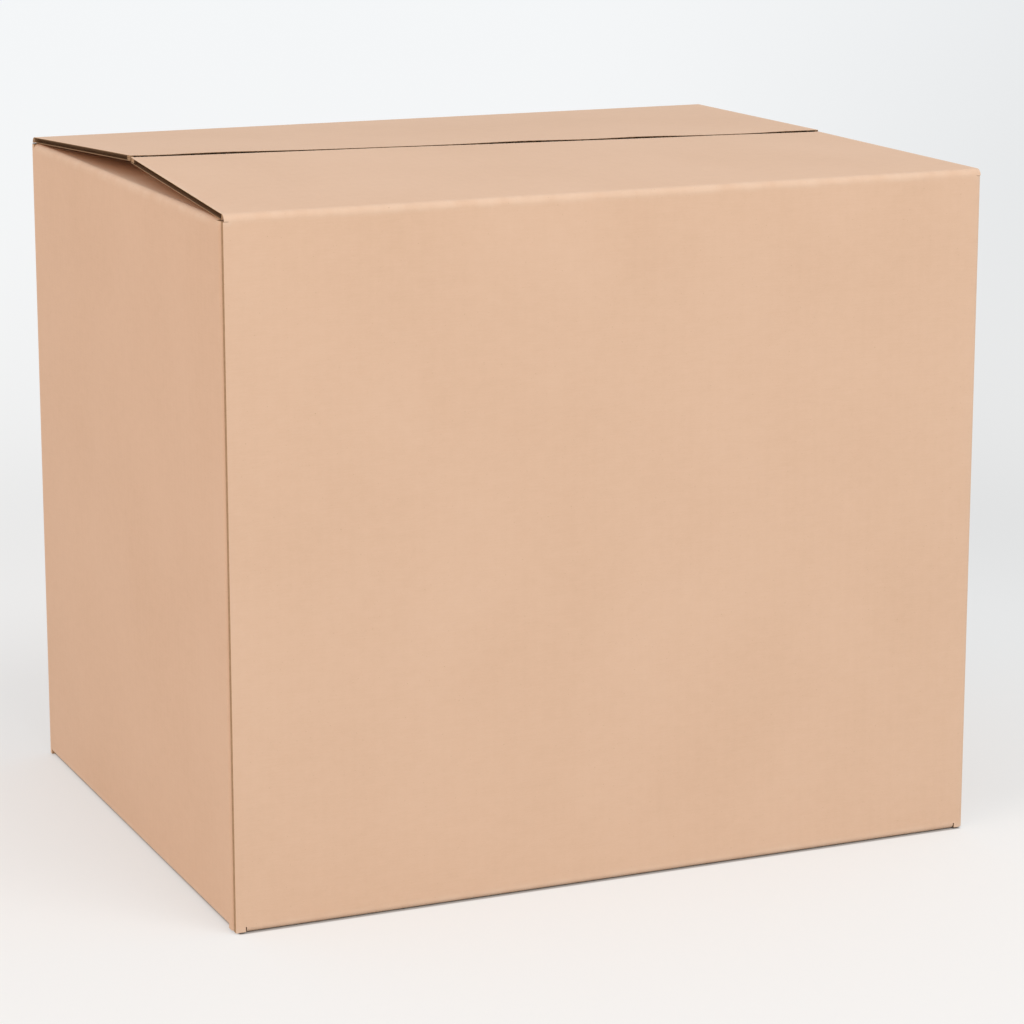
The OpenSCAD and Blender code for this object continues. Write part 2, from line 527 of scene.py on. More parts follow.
@dataclass(frozen=True)
class PaleFloor(Finish):
    """A pale floor that looks nearly evenly lit, with painted shade near the box, on its right and
    under it.
    """

    footprint: Pair
    name: str = "studio_floor"
    tone: Triple = (0.90, 0.89, 0.87)
    glow_share: float = 0.5
    glow_strength: float = 1.4
    # Glow levels near the box and towards the horizon: painted shade near the box
    near_level: float = 0.60
    near_reach: Pair = (0.68, 1.3)
    horizon_level: float = 0.865
    fall: float = 0.345
    # Depth of a painted shadow on the box's right, near the box and far off
    near_shade: float = 0.072
    far_shade: float = 0.18
    shade_reach: Pair = (0.0, 3.9)
    shade_turn: Pair = (0.405, 0.69)
    shade_front: Pair = (-0.26, -0.15)
    # Width over which the glow fades at the box's footprint: a painted contact shade
    contact: float = 2.5 * MM

    def shader(self, g: Graph) -> bpy.types.Node:
        """A matt floor mixed with a glow, which is painted darker near the box, on its right and
        under it.

        Args:
            g: The material's nodes.

        Returns:
            The shader.
        """
        place = g.node("ShaderNodeTexCoord", {}, {}).outputs["Object"]
        far = g.number("ShaderNodeVectorMath", {"operation": "LENGTH"}, {0: place}, out=1)
        x, y = g.axis(place, 0), g.axis(place, 1)
        # Painted shade: the glow is dimmer near the box and brightens towards the horizon
        level = self.horizon_level - self.fall / far
        level = self.near_level + (level - self.near_level) * far.step(*self.near_reach)
        # Painted shadow: a soft shade to the right of the box and behind it, deeper further off
        shade = self.near_shade + far.step(*self.shade_reach) * (self.far_shade - self.near_shade)
        level = level - (x / far).step(*self.shade_turn) * y.step(*self.shade_front) * shade
        # Painted contact shade: the glow fades to nothing at the box's footprint and under it
        past = [abs(value) - size / 2 for value, size in zip((x, y), self.footprint)]
        level = level * past[0].larger(past[1]).step(0.0, self.contact)
        matt = g.node("ShaderNodeBsdfDiffuse", {}, {"Color": (*self.tone, 1.0)})
        glow = g.node("ShaderNodeEmission", {}, {
            "Color": g.mix(level, (0.0, 0.0, 0.0), (1.0, 1.0, 1.0)),
            "Strength": self.glow_strength})
        return g.node("ShaderNodeMixShader", {}, {
            0: self.glow_share, 1: matt.outputs[0], 2: glow.outputs[0]})


# Board and folds


@dataclass(frozen=True)
class Board:
    """Single-wall corrugated board and its folds."""

    thickness: float = 4.0 * MM
    liner: float = 0.35 * MM
    medium: float = 0.26 * MM
    crease_radius: float = 0.6 * MM
    dip_radius: float = 1.0 * MM
    flap_gap: float = 0.7 * MM
    outer_inset: float = 1.5 * MM
    outer_taper: float = 8.0 * MM
    bottom_inset: float = 8.8 * MM
    inner_inset: float = 8.0 * MM
    hinge_clearance: float = 0.3 * MM
    slot_clearance: float = 0.8 * MM
    foot_gap: float = 1.0 * MM
    liner_gap: float = 0.05 * MM
    mouth_depth: float = 7.0 * MM
    medium_recess: float = 0.15 * MM
    medium_overlap: float = 0.2 * MM
    flank_depths: Pair = (2.2 * MM, 5.2 * MM)

    @property
    def fold_radius(self) -> float:
        """Outside radius of a fold."""
        return self.thickness + self.crease_radius

    @property
    def middle_radius(self) -> float:
        """Radius of a fold's middle line."""
        return self.crease_radius + self.thickness / 2

    @property
    def bend(self) -> float:
        """Length of a square fold's middle line."""
        return self.middle_radius * QUARTER

    @property
    def taper_start(self) -> float:
        """Distance from the wall at which an outer flap's ends start to taper."""
        return 2 * self.fold_radius

    @property
    def slot_floor(self) -> float:
        """Depth of a slot's floor below the outer flaps."""
        return self.fold_radius + self.hinge_clearance

    @property
    def foot_reach(self) -> float:
        """How far the corners' feet reach in from the end walls' outer faces."""
        return self.bottom_inset - self.slot_clearance

    def fold_drop(self, inset: float) -> float:
        """How far an inner flap's fold lies below the outer flap whose end clears it.

        Args:
            inset: How far that end stands in from the end wall's outer face.

        Returns:
            The depth.
        """
        past = max(0.0, inset - self.fold_radius)
        chord = math.sqrt(max(0.0, self.fold_radius ** 2 - past ** 2))
        return max(0.0, self.thickness + self.hinge_clearance - self.fold_radius + chord)

    def over_angle(self, drop: float) -> float:
        """Angle by which an inner flap's fold goes past level when it lies that far down."""
        rise = self.dip_radius - self.flap_gap - self.thickness + drop + self.fold_radius
        return math.acos(rise / (self.fold_radius + self.dip_radius))


@dataclass(frozen=True)
class Section:
    """The middle line of a folded sheet, drawn leg by leg in a plane.

    Each leg is its length and the angle that it turns through, to the left where positive.
    """

    start: Pair
    heading: float
    legs: Tuple[Pair, ...]

    @property
    def length(self) -> float:
        """Length of all legs."""
        return sum(length for length, _ in self.legs)

    def at(self, run: float, left: float) -> Pair:
        """A point beside the line.

        Args:
            run: Distance along the line.
            left: Distance from the line, to its left.

        Returns:
            The point's two coordinates.
        """
        x, y = self.start
        heading = self.heading
        rest = run
        for place, (length, turn) in enumerate(self.legs):
            last = place == len(self.legs) - 1
            step = rest if last else min(rest, length)
            if turn:
                radius = length / turn
                after = heading + step / radius
                x += radius * (math.sin(after) - math.sin(heading))
                y += radius * (math.cos(heading) - math.cos(after))
                heading = after
            else:
                x += step * math.cos(heading)
                y += step * math.sin(heading)
            rest -= step
            if rest <= 0:
                break
        return x - left * math.sin(heading), y + left * math.cos(heading)


@dataclass
class Side:
    """Place of one wall: its corner on the floor and its directions."""

    origin: Vector
    along: Vector
    inward: Vector
    length: float
    first: float

    def world(self, s: float, p: float, z: float) -> Vector:
        """The frame's point at s along the wall, p in from its face and z above the floor."""
        return self.origin + self.along * s + self.inward * p + Vector((0, 0, z))


@dataclass
class Sheet:
    """A stretch of board at one wall, which maps its own places to the frame."""

    board: Board
    side: Side
    height: float

    def at(self, s: float, t: float, depth: float) -> Vector:
        """Point of the sheet.

        Args:
            s: Place across the flutes.
            t: Place along the flutes.
            depth: Distance in from the outer face.

        Returns:
            The point in the frame.
        """
        raise NotImplementedError

    def blank(self, s: float, t: float) -> Pair:
        """Place on the flat blank, across and along the flutes."""
        raise NotImplementedError

    def edge(self, s: float, t: float) -> float:
        """Distance to the nearest crease or cut edge."""
        raise NotImplementedError


@dataclass
class Wall(Sheet):
    """A wall with the flaps that fold from its two ends, with t counted from mid-height."""

    upper: Section
    lower: Section
    flap_inset: float
    bow: float
    phase: float
    quiet: float = 40.0 * MM
    ramp: float = 110.0 * MM
    broad_wave: Triple = (0.5, 11.0, 9.0)
    fine_wave: Triple = (0.35, 23.0, 17.0)
    waviness: float = 0.5

    def line(self, t: float) -> Section:
        """The middle line of the half that t lies on."""
        return self.upper if t >= 0 else self.lower

    def at(self, s: float, t: float, depth: float) -> Vector:
        """Point of the wall or flap."""
        p, rise = self.line(t).at(abs(t), self.board.thickness / 2 - depth)
        return self.side.world(s, p + self.bowed(s, t), self.height / 2 + math.copysign(rise, t))

    def bowed(self, s: float, t: float) -> float:
        """How far the wall is bowed in at a place, which is nothing near its corners.

        Args:
            s: Place along the wall.
            t: Height above its middle.

        Returns:
            The distance inward.
        """
        in_from_end = min(s, self.side.length - s) - self.quiet
        in_from_fold = self.height / 2 - abs(t) - self.quiet / 2
        if in_from_end <= 0 or in_from_fold <= 0:
            return 0.0
        share = smooth(in_from_end, 0, self.ramp) * smooth(in_from_fold, 0, self.ramp)
        swing, along, up = self.broad_wave
        waves = swing * math.sin(along * s + self.phase) * math.cos(up * t + 2 * self.phase)
        swing, along, up = self.fine_wave
        waves += swing * math.sin(along * s + up * t + self.phase)
        return self.bow * share * (1 + self.waviness * waves)

    def blank(self, s: float, t: float) -> Pair:
        """Place on the flat blank."""
        return self.side.first + s, t

    def edge(self, s: float, t: float) -> float:
        """Distance to the nearest crease or cut edge.

        Args:
            s: Place along the wall.
            t: Height above its middle, and on along the flap.

        Returns:
            The distance, which is 0 past an edge.
        """
        line = self.line(t)
        fold = line.legs[0][0] + self.board.bend / 2
        ends = min(s, self.side.length - s)
        if abs(t) >= fold:
            ends = max(0.0, ends - self.flap_inset)
        return min(ends, abs(abs(t) - fold), max(0.0, line.length - abs(t)))


@dataclass
class Corner(Sheet):
    """An upright strip of board that follows a line in plan, with t counted from mid-height."""

    plan: Section
    first: float
    crease: float = math.inf
    taper: Callable[[float, float], float] = lambda s, t: t
    # Added to the distance from the upright crease, so that neither wear nor painted highlight
    # shows there
    rub_highlight_offset: float = 4.0 * MM

    def at(self, s: float, t: float, depth: float) -> Vector:
        """Point of the strip, with s along its line."""
        x, y = self.plan.at(s, depth - self.board.thickness / 2)
        return self.side.world(x, y, self.height / 2 + self.taper(s, t))

    def blank(self, s: float, t: float) -> Pair:
        """Place on the flat blank."""
        return self.first + s, t

    def edge(self, s: float, t: float) -> float:
        """Distance to the nearest crease or cut edge.

        Args:
            s: Place along the strip's line.
            t: Height above its middle.

        Returns:
            The distance, with an offset added to that from the upright crease, which keeps wear
            and painted highlight off it.
        """
        top, foot = self.board.slot_floor, self.board.foot_gap
        ends = max(0.0, self.height / 2 - max(top + t, foot - t))
        return min(abs(s - self.crease) + self.rub_highlight_offset, ends)


@dataclass
class LiftedFlap(Sheet):
    """An outer flap, sprung up and twisted about its crease, with t counted from the wall."""

    line: Section
    reach: float
    lifts: Pair
    span: Pair
    crease: float
    sag: float
    crests: Tuple[Pair, ...]
    end_share: float = 0.06

    def share(self, s: float) -> float:
        """Place along the crease, from 0 at its first end to 1 at its last."""
        return (s - self.span[0]) / (self.span[1] - self.span[0])

    def narrowed(self, s: float, t: float) -> float:
        """Place across the flutes, once the taper of the flap's ends has drawn it in.

        Args:
            s: Place along the crease.
            t: Place along the flutes.

        Returns:
            The place, nearer to the middle of the flap.
        """
        p, _ = self.line.at(t, 0.0)
        start = self.board.taper_start
        past = max(0.0, p - start) / (self.reach - start)
        return s + self.board.outer_taper * past * (1 - 2 * self.share(s))

    def lift(self, s: float) -> float:
        """Angle by which the flap has sprung up at s."""
        return self.lifts[0] + (self.lifts[1] - self.lifts[0]) * self.share(s)

    def at(self, s: float, t: float, depth: float) -> Vector:
        """Point of the flap or of the crease that carries it.

        Args:
            s: Place along the crease.
            t: Place along the flutes, from the wall.
            depth: Distance in from the outer face.

        Returns:
            The point in the frame.
        """
        p, z = self.line.at(t, self.board.thickness / 2 - depth)
        s = self.narrowed(s, t)
        z += self.ripple(s) * smooth(p, self.board.fold_radius, self.reach) - self.height
        angle = self.lift(s) * smooth(t, 0, 2 * self.crease)
        u = p * math.cos(angle) - z * math.sin(angle)
        v = p * math.sin(angle) + z * math.cos(angle)
        return self.side.world(s, u, self.height + v)

    def ripple(self, s: float) -> float:
        """Height of the free edge's waves, which sag between its ends and its crests.

        Args:
            s: Place along the crease.

        Returns:
            The height, 0 or less.
        """
        share = self.share(s)
        level = -self.sag * smooth(share, 0, self.end_share) * smooth(1 - share, 0, self.end_share)
        for centre, width in self.crests:
            level *= 1 - math.exp(-((share - centre) / width) ** 2)
        return level

    def blank(self, s: float, t: float) -> Pair:
        """Place on the flat blank."""
        across = self.side.first + self.narrowed(s, t)
        return across, self.height / 2 - self.board.fold_radius + t

    def edge(self, s: float, t: float) -> float:
        """Distance to the nearest crease or cut edge."""
        ends = min(s - self.span[0], self.span[1] - s)
        return max(0.0, min(ends, abs(t - self.crease), self.line.length - t))


# Mesh making


@dataclass
class Draft:
    """A mesh in the making, whose points join where they meet, with a finish for each skin."""

    board: Board
    finishes: Materials
    points: List[Vector] = field(default_factory=list)
    blank: List[Triple] = field(default_factory=list)
    edge: List[float] = field(default_factory=list)
    faces: List[Tuple[int, ...]] = field(default_factory=list)
    skins: List[int] = field(default_factory=list)
    known: Dict[Tuple[int, int, int], int] = field(default_factory=dict)

    def point(self, sheet: Sheet, s: float, t: float, depth: float) -> int:
        """Adds a point of a sheet, or finds the one that is there.

        Args:
            sheet: The sheet that it lies on.
            s: Its place across the flutes.
            t: Its place along the flutes.
            depth: Its distance in from the outer face.

        Returns:
            The point's number.
        """
        place = sheet.at(s, t, depth)
        key = tuple(round(c * JOINS_PER_METRE) for c in place)
        if key not in self.known:
            self.known[key] = len(self.points)
            self.points.append(place)
            across, along = sheet.blank(s, t)
            self.blank.append((across, along, PATTERN_DEPTH * depth))
            self.edge.append(sheet.edge(s, t))
        return self.known[key]

    def face(self, corners: Sequence[int], skin: Skin, turned: bool = False) -> None:
        """Adds a face, unless its corners fall together.

        Args:
            corners: Its points in order.
            skin: Its material.
            turned: Whether its order is reversed, so that it faces the other way.
        """
        ring = [c for i, c in enumerate(corners) if c != corners[i - 1]]
        if len(set(ring)) >= 3:
            self.faces.append(tuple(reversed(ring) if turned else ring))
            self.skins.append(skin.value)

    def grid(self, rows: Sequence[Sequence[int]], skin: Skin, turned: bool = False) -> None:
        """Adds the faces between rows of points.

        Args:
            rows: The rows, all of one length.
            skin: The faces' material.
            turned: Whether their order is reversed.
        """
        for low, high in zip(rows, rows[1:]):
            for i in range(len(low) - 1):
                self.face((low[i], low[i + 1], high[i + 1], high[i]), skin, turned)

    def block(self, sheet: Sheet, across: Sequence[float], along: Sequence[float],
              depths: Pair) -> None:
        """Adds a closed slab of a sheet.

        Args:
            sheet: The sheet.
            across: Places across the flutes.
            along: Places along the flutes.
            depths: The two depths between which the slab lies.
        """
        for depth, turned in zip(depths, (False, True)):
            rows = [[self.point(sheet, s, t, depth) for s in across] for t in along]
            self.grid(rows, Skin.LINER, turned)
        for at, turned in ((along[0], True), (along[-1], False)):
            rows = [[self.point(sheet, s, at, depth) for s in across] for depth in depths]
            self.grid(rows, Skin.LINER, turned)
        for at, turned in ((across[0], False), (across[-1], True)):
            rows = [[self.point(sheet, at, t, depth) for t in along] for depth in depths]
            self.grid(rows, Skin.CUT, turned)

    def sheet(self, sheet: Sheet, across: Sequence[float], along: Sequence[float],
              **rims: Rim) -> None:
        """Adds both faces of a sheet and the borders that are named.

        Args:
            sheet: The sheet.
            across: Places across the flutes.
            along: Places along the flutes.
            rims: How the borders low_s, high_s, low_t and high_t are finished.
        """
        for depth, turned in ((0.0, False), (self.board.thickness, True)):
            rows = [[self.point(sheet, s, t, depth) for s in across] for t in along]
            self.grid(rows, Skin.LINER, turned)
        for name, rim in rims.items():
            self.border(sheet, across, along, name, rim)

    def border(self, sheet: Sheet, across: Sequence[float], along: Sequence[float], name: str,
               rim: Rim = Rim.CLOSED) -> None:
        """Adds one border of a sheet.

        Args:
            sheet: The sheet.
            across: Places across the flutes.
            along: Places along the flutes.
            name: Which border, out of low_s, high_s, low_t and high_t.
            rim: How it is finished.
        """
        low = name.startswith("low")
        sign = 1 if low else -1
        if name.endswith("_t"):
            at = along[0 if low else -1]
            self.rim(rim, across, lambda place, inset, depth:
                     self.point(sheet, place, at + sign * inset, depth), turned=low)
            if rim is Rim.ACROSS and across[1] < across[-2]:
                self.flutes(sheet, across[1], across[-2], at, sign)
        else:
            at = across[0 if low else -1]
            self.rim(rim, along, lambda place, inset, depth:
                     self.point(sheet, at + sign * inset, place, depth), turned=not low)

    def rim(self, rim: Rim, places: Sequence[float],
            point: Callable[[float, float, float], int], turned: bool) -> None:
        """Adds the cut face along one border, with the hollow between its liners.

        Args:
            rim: How the border is cut.
            places: Places along the border.
            point: Gives a point from its place, its distance in from the cut and its depth.
            turned: Whether the faces' order is reversed, so that they face outward.
        """
        outer, inner = self.board.liner, self.board.thickness - self.board.liner
        hollow = {Rim.ALONG: self.board.flank_depths,
                  Rim.ACROSS: (self.board.mouth_depth,) * 2}.get(rim)
        last = len(places) - 2
        for i in range(last + 1):
            a, b = places[i], places[i + 1]
            levels = [(0.0, outer), (inner, self.board.thickness)]
            open_here = hollow is not None and 0 < i < last
            if not open_here:
                levels.append((outer, inner))
            for low, high in levels:
                ring = (point(a, 0, low), point(b, 0, low), point(b, 0, high), point(a, 0, high))
                self.face(ring, Skin.CUT, turned)
            if not open_here:
                continue
            profile = ((0.0, outer), (hollow[0], outer), (hollow[1], inner), (0.0, inner))
            rows = [[point(p, inset, depth) for p in (a, b)] for inset, depth in profile]
            self.grid(rows, Skin.MEDIUM, turned)
            if i == 1:
                self.face([point(a, *corner) for corner in profile], Skin.CUT, turned)
            if i == last - 1:
                self.face([point(b, *corner) for corner in profile], Skin.CUT, not turned)

    def flutes(self, sheet: Sheet, low: float, high: float, at: float, sign: int) -> None:
        """Adds the fluted medium that shows in a cut across the flutes.

        Args:
            sheet: The sheet.
            low: First place across the flutes.
            high: Last place across them.
            at: Place of the cut along the flutes.
            sign: 1 where the sheet goes on from the cut to higher places, and -1 where lower.
        """
        board = self.board
        count = max(FLUTE_STEPS, round((high - low) / FLUTE_PITCH * FLUTE_STEPS))
        middle = board.thickness / 2
        swing = middle - board.liner - board.medium / 2
        start, end = board.medium_recess, board.mouth_depth + board.medium_overlap
        rows: List[List[int]] = [[], [], [], []]
        for s in spread(low, high - low, count):
            across, _ = sheet.blank(s, at)
            angle = TURN * across / FLUTE_PITCH
            depth = middle + swing * math.sin(angle)
            half = board.medium / 2 * math.hypot(1, swing * TURN / FLUTE_PITCH * math.cos(angle))
            corners = ((start, -half), (end, -half), (end, half), (start, half))
            for row, (inset, shift) in zip(rows, corners):
                row.append(self.point(sheet, s, at + sign * inset, depth + shift))
        turned = sign < 0
        self.grid(rows + rows[:1], Skin.MEDIUM, turned)
        self.face([row[0] for row in rows], Skin.MEDIUM, not turned)
        self.face([row[-1] for row in rows], Skin.MEDIUM, turned)

    def build(self, name: str) -> bpy.types.Object:
        """Makes the object.

        Args:
            name: The piece's name.

        Returns:
            The new object, with faces turned outward.
        """
        mesh = bpy.data.meshes.new(name)
        mesh.from_pydata([tuple(p) for p in self.points], [], self.faces)
        for finish in self.finishes:
            mesh.materials.append(finish)
        blank = mesh.attributes.new("blank", "FLOAT_VECTOR", "POINT")
        blank.data.foreach_set("vector", [c for place in self.blank for c in place])
        edge = mesh.attributes.new("edge", "FLOAT", "POINT")
        edge.data.foreach_set("value", self.edge)
        mesh.polygons.foreach_set("material_index", self.skins)
        mesh.polygons.foreach_set("use_smooth", [True] * len(self.faces))
        mesh.update()
        mesh.set_sharp_from_angle(angle=SHARP_ANGLE)
        LOG.info("%s: %d points, %d faces", name, len(self.points), len(self.faces))
        return add_object(name, mesh)


# The box


@dataclass
class Carton:
    """The blank folded into walls, corners, glue tab, bottom flaps and inner top flaps.

    Walls are numbered from the front round to the left, so the long ones are even. Rows are
    heights from mid-height.
    """

    board: Board
    finishes: Materials
    length: float
    width: float
    height: float
    tab_width: float = 35.0 * MM
    tab_start: float = 8.0 * MM
    tab_recess: float = 8.0 * MM
    tab_taper: float = 12.0 * MM
    tab_step: float = 7.0 * MM
    tab_margin: float = 1.2 * MM
    edge_setback: float = 0.8 * MM
    edge_step: float = 2.0 * MM
    glue_film: float = 0.3 * MM
    seam_gap: float = 1.5 * MM
    step: float = 14.0 * MM
    bow: float = 0.9 * MM
    first_phase: float = 0.6
    next_phase: float = 1.7

    def __post_init__(self) -> None:
        """Lays the four walls end to end round the box and starts the mesh."""
        b = self.board
        x, y = self.length / 2, self.width / 2
        self.sides: List[Side] = []
        first = 0.0
        for origin, along, inward, length in (
                ((-x, -y, 0), (1, 0, 0), (0, 1, 0), self.length),
                ((x, -y, 0), (0, 1, 0), (-1, 0, 0), self.width),
                ((x, y, 0), (-1, 0, 0), (0, -1, 0), self.length),
                ((-x, y, 0), (0, -1, 0), (1, 0, 0), self.width)):
            self.sides.append(Side(Vector(origin), Vector(along), Vector(inward), length, first))
            first += length - 2 * b.fold_radius + b.bend
        self.draft = Draft(b, self.finishes)
        self.rows = self.shared_rows()

    @property
    def flap_length(self) -> float:
        """Length of every flap, from its wall's outer face."""
        return (self.width - self.seam_gap) / 2

    @property
    def joint_step(self) -> float:
        """How much further in the glued corner folds than a plain one."""
        return self.board.thickness + self.glue_film

    @property
    def tab_half(self) -> float:
        """Half the height of the glue tab at its fold."""
        return self.height / 2 - self.board.slot_floor - self.tab_recess

    def long_line(self) -> Section:
        """Middle line of a long wall, over its fold to an outer flap's free edge.

        Returns:
            The line, as wide as it runs in and as high as it runs from mid-height.
        """
        b = self.board
        return Section((b.thickness / 2, 0.0), QUARTER, (
            (self.height / 2 - b.fold_radius, 0.0),
            (b.bend, -QUARTER),
            (self.flap_length - b.fold_radius, 0.0),
        ))

    def end_line(self, inset: float) -> Section:
        """Middle line of an end wall, over its fold and dip to an inner flap's free edge.

        Args:
            inset: How far in the end of the outer flap stands that the fold clears.

        Returns:
            The line, as wide as it runs in and as high as it runs from mid-height.
        """
        b = self.board
        drop = b.fold_drop(inset)
        over = b.over_angle(drop)
        dip_end = b.fold_radius + (b.fold_radius + b.dip_radius) * math.sin(over)
        return Section((b.thickness / 2, 0.0), QUARTER, (
            (self.height / 2 - drop - b.fold_radius, 0.0),
            (b.middle_radius * (QUARTER + over), -QUARTER - over),
            ((b.dip_radius + b.thickness / 2) * over, over),
            (self.flap_length - dip_end, 0.0),
        ))

    def shared_rows(self) -> List[float]:
        """The rows that walls and corners share.

        Returns:
            Rows at the folds' starts, the slots' floors and evenly along the glue tab.
        """
        b, half = self.board, self.height / 2
        insets = (b.outer_inset, b.bottom_inset)
        upper, lower = (self.end_line(inset).legs[0][0] for inset in insets)
        plain = graded(-self.tab_half, self.tab_half, self.step, SLOT_MARGINS)
        return rounded((b.foot_gap - half, b.fold_radius - half, -lower, *plain,
                        upper, half - b.slot_floor))

    def columns(self, place: int) -> List[float]:
        """Places along a wall of its columns, between its corners.

        Args:
            place: The wall's number.

        Returns:
            The columns. The strips between the first two and the last two end at the slots.
        """
        b = self.board
        low, high = b.fold_radius, self.sides[place].length - b.fold_radius
        if place % 2 == 0:
            foot = b.foot_reach - b.fold_radius
            slot = foot + b.slot_clearance
            flap = graded(low + slot, high - slot, self.step, CUT_MARGINS)
            return rounded((low, low + foot, *flap, high - foot, high))
        high -= self.joint_step if place == 3 else 0.0
        slot = b.inner_inset - b.fold_radius
        return rounded((low, *graded(low + slot, high - slot, self.step, CUT_MARGINS), high))

    def flap_rows(self, line: Section) -> Tuple[List[float], List[float]]:
        """Places along a line past its wall.

        Args:
            line: The middle line of a wall and its flap.

        Returns:
            The places in the folds, and those on the flat rest of the flap.
        """
        start = line.legs[0][0]
        folded = [start]
        for length, turn in line.legs[1:-1]:
            folded += spread(start, length, max(FOLD_ROWS, math.ceil(abs(turn) / FOLD_STEP)))[1:]
            start += length
        return rounded(folded), rounded(graded(start, line.length, self.step, CUT_MARGINS))

    def build(self, flaps: Sequence["OuterFlap"]) -> bpy.types.Object:
        """Makes the whole blank apart from the hinged flaps.

        Args:
            flaps: The hinged flaps, whose creases start on the long walls.

        Returns:
            The new object.
        """
        for place in range(len(self.sides)):
            if place % 2 == 0:
                self.long_wall(place)
            else:
                self.end_wall(place)
        for flap in flaps:
            flap.half_fold(self.draft, wall_half=True)
        for side in self.sides[:3]:
            self.upright(self.corner(side), self.corner_columns())
        self.glued_corner()
        return self.draft.build("carton_blank")

    def dress(self, flaps: Sequence["OuterFlap"]) -> None:
        """Builds the blank and ties it to the frame.

        Args:
            flaps: The hinged flaps.
        """
        blank = self.build(flaps)
        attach(blank, "carton")
        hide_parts("carton")

    def wall(self, place: int, *shape: Union[Section, float]) -> Wall:
        """The sheet of one wall, whose shape is its two middle lines and its flaps' inset."""
        phase = self.next_phase * place + self.first_phase
        return Wall(self.board, self.sides[place], self.height, *shape, self.bow, phase)

    def long_wall(self, place: int) -> None:
        """Adds a long wall up to its top fold, and its bottom flap with the whole fold.

        Args:
            place: The wall's number.
        """
        line = self.long_line()
        wall = self.wall(place, line, line, self.board.bottom_inset)
        columns = self.columns(place)
        fold = round(line.legs[0][0], PLACE_DIGITS)
        shared = [t for t in self.rows if t >= -fold]
        self.draft.sheet(wall, columns[1:-1], shared)
        for pair in (columns[1:3], columns[-3:-1]):
            self.draft.border(wall, pair, shared, "low_t")
        self.flap(wall, columns[2:-2], "low_t")
        self.strips(place, shared)
        self.draft.sheet(wall, columns, [self.rows[-1], fold], **BUTTED_SIDES, high_t=Rim.CLOSED)

    def end_wall(self, place: int) -> None:
        """Adds an end wall with both its inner flaps.

        Args:
            place: The wall's number.
        """
        b = self.board
        upper, lower = self.end_line(b.outer_inset), self.end_line(b.bottom_inset)
        wall = self.wall(place, upper, lower, b.inner_inset)
        columns = self.columns(place)[1:-1]
        low, high = rounded((lower.legs[0][0], upper.legs[0][0]))
        shared = [t for t in self.rows if -low <= t <= high]
        self.draft.sheet(wall, columns, shared)
        for far in ("low_t", "high_t"):
            self.flap(wall, columns, far)
        self.strips(place, shared)

    def flap(self, wall: Wall, columns: Sequence[float], far: str) -> None:
        """Adds the fold at one end of a wall and the flap past it.

        Args:
            wall: The wall.
            columns: The flap's places across the flutes.
            far: The border at the flap's free edge, low_t at the bottom and high_t at the top.
        """
        folded, flat = self.flap_rows(wall.lower if far == "low_t" else wall.upper)
        if far == "low_t":
            folded, flat = ([-t for t in reversed(part)] for part in (folded, flat))
        self.draft.sheet(wall, columns, folded, **BUTTED_SIDES)
        self.draft.sheet(wall, columns, flat, **FLAP_SIDES, **{far: Rim.ACROSS})

    def strips(self, place: int, shared: Sequence[float]) -> None:
        """Adds the strips between a wall's flaps and its corners, which end at the slots.

        Args:
            place: The wall's number.
            shared: The rows along which the wall joins them.
        """
        columns, sheet = self.columns(place), self.flat_strip(self.sides[place])
        for pair, slot_side in ((columns[:2], "high_s"), (columns[-2:], "low_s")):
            self.upright(sheet, pair)
            self.slot_edges(sheet, pair, shared[0], shared[-1], slot_side)

    def slot_edges(self, sheet: Sheet, columns: Sequence[float], low: float, high: float,
                   name: str) -> None:
        """Closes the border of a strip that stands free below row low and above row high."""
        for stretch in ([t for t in self.rows if t <= low], [t for t in self.rows if t >= high]):
            self.draft.border(sheet, columns, stretch, name)

    def upright(self, sheet: Sheet, columns: Sequence[float], **rims: Rim) -> None:
        """Adds an upright strip with both its ends cut and the borders that are named."""
        self.draft.sheet(sheet, columns, self.rows, **rims, **CUT_ENDS)

    def flat_strip(self, side: Side) -> Corner:
        """An upright sheet in line with a wall."""
        plan = Section((0.0, self.board.thickness / 2), 0.0, ((side.length, 0.0),))
        return Corner(self.board, side, self.height, plan, side.first)

    def corner(self, side: Side, inward: float = 0.0) -> Corner:
        """An upright sheet that folds round the corner at the end of a wall.

        Args:
            side: The wall before the corner.
            inward: How much sooner than a plain corner it folds.

        Returns:
            The sheet, which runs straight on after its fold.
        """
        b = self.board
        fold = side.length - b.fold_radius - inward
        plan = Section((fold, b.thickness / 2), 0.0, ((b.bend, QUARTER), (0.0, 0.0)))
        return Corner(b, side, self.height, plan, side.first + fold, b.bend / 2)

    def corner_columns(self) -> List[float]:
        """Places along a corner's bend."""
        return rounded(spread(0.0, self.board.bend, CORNER_COLUMNS))

    def glued_corner(self) -> None:
        """Adds the left wall's fold inside the front wall, the glue tab and the wall's edge."""
        b = self.board
        fold = self.corner(self.sides[3], self.joint_step)
        straight = round(b.bend + self.tab_start - b.fold_radius, PLACE_DIGITS)
        columns = [*self.corner_columns(), straight]
        half = round(self.tab_half, PLACE_DIGITS)
        self.upright(fold, columns)
        self.slot_edges(fold, columns, -half, half, "high_s")

        reach = self.tab_width - self.tab_start

        def taper(s: float, t: float) -> float:
            """Height of a row of the tab, which narrows towards its free edge."""
            return t * (1 - self.tab_taper * max(0.0, s - straight) / reach / self.tab_half)

        tab = replace(fold, taper=taper)
        places = rounded(straight + v for v in graded(0, reach, self.tab_step, (self.tab_margin,)))
        self.draft.sheet(tab, places, [t for t in self.rows if abs(t) <= half],
                         high_s=Rim.ALONG, **CUT_ENDS)

        edge = graded(self.edge_setback, b.fold_radius, self.edge_step)
        self.upright(self.flat_strip(self.sides[0]), edge, low_s=Rim.CLOSED)


